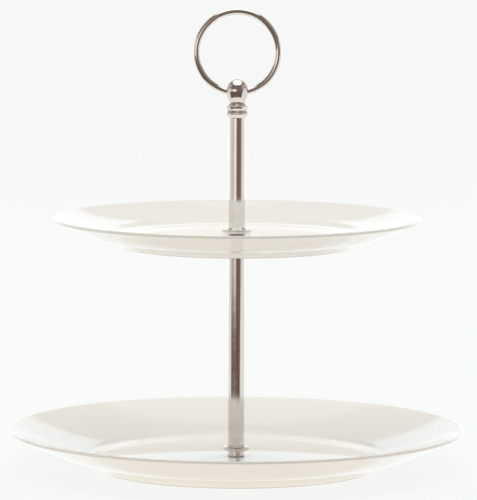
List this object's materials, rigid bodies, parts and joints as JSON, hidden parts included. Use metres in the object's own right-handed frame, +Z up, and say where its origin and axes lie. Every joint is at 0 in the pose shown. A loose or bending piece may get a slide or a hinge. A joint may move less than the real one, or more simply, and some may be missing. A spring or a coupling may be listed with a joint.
{
  "type": "tiered cake stand",
  "caption": "Tiered cake stand: wide rimmed porcelain plates on a slim polished metal column that unscrews in sections, with a beaded collar, a ball and an upright ring handle.",
  "frame": {"origin": "centre of the lower plate's foot ring, on the surface that the stand rests on", "axes": "+Z up the column, +X along the plane of the upright ring handle, to the right seen from the front; the front faces -Y"},
  "size_m": [0.26, 0.26, 0.2636],
  "materials": {
    "porcelain": "white porcelain under a clear glossy glaze, bare on the foot ring",
    "nickel": "bright polished nickel plate",
    "zinc": "zinc plated steel",
    "brass": "turned brass",
    "silicone": "translucent silicone"
  },
  "bodies": {
    "base": {"lower_plate": "porcelain", "base_pad": "silicone", "base_washer": "zinc", "base_screw": "zinc"},
    "lower_pad": {"lower_flange_pad": "silicone"},
    "lower_column": {"lower_flange": "nickel", "lower_tube": "nickel", "lower_bush": "brass", "joining_stud": "zinc", "seat_washer": "nickel"},
    "plate_seat": {"seat_pad": "silicone"},
    "upper_tier": {"upper_plate": "porcelain"},
    "upper_pad": {"upper_flange_pad": "silicone"},
    "upper_column": {"upper_flange": "nickel", "upper_tube": "nickel", "upper_bush": "brass"},
    "collar_ring": {"ferrule": "nickel"},
    "handle": {"handle_collar": "nickel", "handle_stud": "zinc", "handle_ball": "nickel", "ring_handle": "nickel"}
  },
  "joints": [
    {"name": "lower_column_turn", "type": "hinge", "parent": "base", "child": "lower_pad", "pos_m": [0, 0, 0.0064], "axis": [0, 0, 1], "range_deg": [0, 3240]},
    {"name": "lower_column_lift", "type": "slide", "parent": "lower_pad", "child": "lower_column", "axis": [0, 0, 1], "range_m": [0, 0.009]},
    {"name": "upper_plate_lift", "type": "slide", "parent": "lower_column", "child": "plate_seat", "axis": [0, 0, 1], "range_m": [0, 0.02]},
    {"name": "upper_plate_turn", "type": "hinge", "parent": "plate_seat", "child": "upper_tier", "pos_m": [0, 0, 0.1304], "axis": [0, 0, 1], "continuous": true},
    {"name": "upper_column_turn", "type": "hinge", "parent": "upper_tier", "child": "upper_pad", "pos_m": [0, 0, 0.1336], "axis": [0, 0, 1], "range_deg": [0, 3240]},
    {"name": "upper_column_lift", "type": "slide", "parent": "upper_pad", "child": "upper_column", "axis": [0, 0, 1], "range_m": [0, 0.009]},
    {"name": "handle_turn", "type": "hinge", "parent": "upper_column", "child": "collar_ring", "pos_m": [0, 0, 0.2013], "axis": [0, 0, 1], "range_deg": [0, 2880]},
    {"name": "handle_lift", "type": "slide", "parent": "collar_ring", "child": "handle", "axis": [0, 0, 1], "range_m": [0, 0.0064]}
  ],
  "couplings": [
    {"joint": "lower_column_turn", "follows": "lower_column_lift", "rad_per_m": 6283.2},
    {"joint": "upper_column_turn", "follows": "upper_column_lift", "rad_per_m": 6283.2},
    {"joint": "handle_turn", "follows": "handle_lift", "rad_per_m": 7854}
  ]
}
